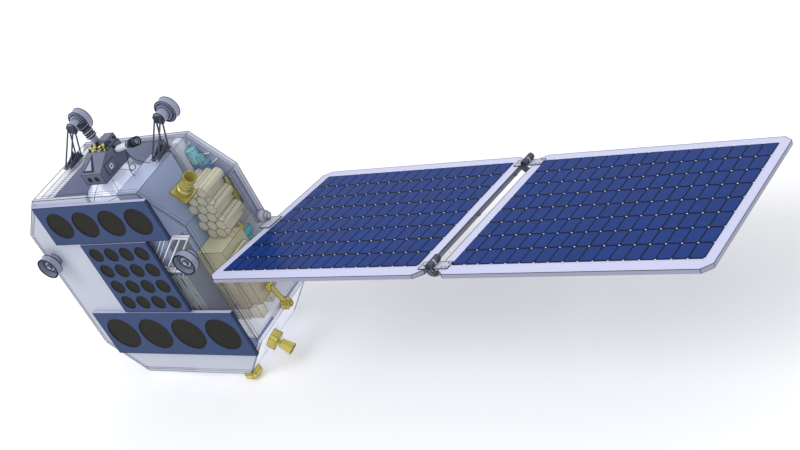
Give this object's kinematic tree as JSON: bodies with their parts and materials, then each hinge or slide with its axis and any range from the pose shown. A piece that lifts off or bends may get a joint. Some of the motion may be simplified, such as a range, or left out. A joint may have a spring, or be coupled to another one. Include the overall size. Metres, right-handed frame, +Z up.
{
  "type": "small octagonal satellite with one solar wing",
  "caption": "Eight-sided satellite on its separation ring, with front antenna arrays, cup antennas on masts and a folding solar wing on a drive.",
  "frame": {"origin": "centre of the separation ring's lower face", "axes": "+Z up from the ring towards the masts, +X towards the solar wing, -Y out of the antenna arrays"},
  "size_m": [2.266, 0.6628, 0.9222],
  "materials": {
    "clear_panel": "clear skin panel",
    "pale_panel": "satin",
    "array_blue": "matt paint",
    "array_disc": "matt",
    "lavender_metal": "satin",
    "dark_metal": "satin",
    "slate_metal": "satin",
    "gold_metal": "satin",
    "teal_unit": "satin paint",
    "tube_tan": "satin",
    "panel_frame": "smooth laminate",
    "solar_cell": "cover glass over blue cells"
  },
  "bodies": {
    "bus": {"skin_back": "clear_panel", "skin_bottom_left": "clear_panel", "skin_left": "clear_panel", "skin_right": "clear_panel", "skin_top": "clear_panel", "skin_top_left": "clear_panel", "skin_top_right": "clear_panel", "front_panel_right": "clear_panel", "equipment_left": "pale_panel", "back_post": "pale_panel", "front_panel_left": "pale_panel", "skin_bottom": "pale_panel", "skin_bottom_right": "pale_panel", "tank_deck": "pale_panel", "equipment_tray": "pale_panel", "louvre_frame": "pale_panel", "separation_ring": "pale_panel", "drive_housing": "pale_panel", "upper_array_face": "array_blue", "middle_array_face": "array_blue", "lower_array_face": "array_blue", "upper_array_discs": "array_disc", "middle_array_discs": "array_disc", "lower_array_discs": "array_disc", "cup_front_left": "lavender_metal", "cup_front_right": "lavender_metal", "cup_rear_left": "lavender_metal", "cup_rear_right": "lavender_metal", "centre_box": "lavender_metal", "tank": "lavender_metal", "barrel_left": "lavender_metal", "barrel_right": "lavender_metal", "mast_left": "dark_metal", "mast_right": "dark_metal", "wall_left": "slate_metal", "rear_block": "slate_metal", "corner_rail": "slate_metal", "head_box": "slate_metal", "tube_bundle": "tube_tan", "avionics_lower": "tube_tan", "avionics_upper": "tube_tan", "fittings": "gold_metal", "horn": "gold_metal", "feed_unit": "gold_metal", "thruster_chamfer": "gold_metal", "thruster_side": "gold_metal", "thruster_corner": "gold_metal", "fill_unit": "teal_unit", "service_units": "teal_unit"},
    "inner_wing": {"yoke": "pale_panel", "inner_panel": "panel_frame", "inner_cells": "solar_cell", "hinge_front_inner_leaf": "pale_panel", "hinge_back_inner_leaf": "pale_panel"},
    "outer_wing": {"outer_panel": "panel_frame", "outer_cells": "solar_cell", "hinge_front_outer_leaf": "pale_panel", "hinge_back_outer_leaf": "pale_panel"}
  },
  "joints": [
    {"name": "array_drive", "type": "hinge", "parent": "bus", "child": "inner_wing", "pos_m": [0.37, 0.126, 0.44697], "axis": [1, 0, 0], "continuous": true},
    {"name": "panel_fold", "type": "hinge", "parent": "inner_wing", "child": "outer_wing", "pos_m": [1.153, 0.12415, 0.43765], "axis": [0, -0.9808, 0.1951], "range_deg": [0, 180]}
  ]
}
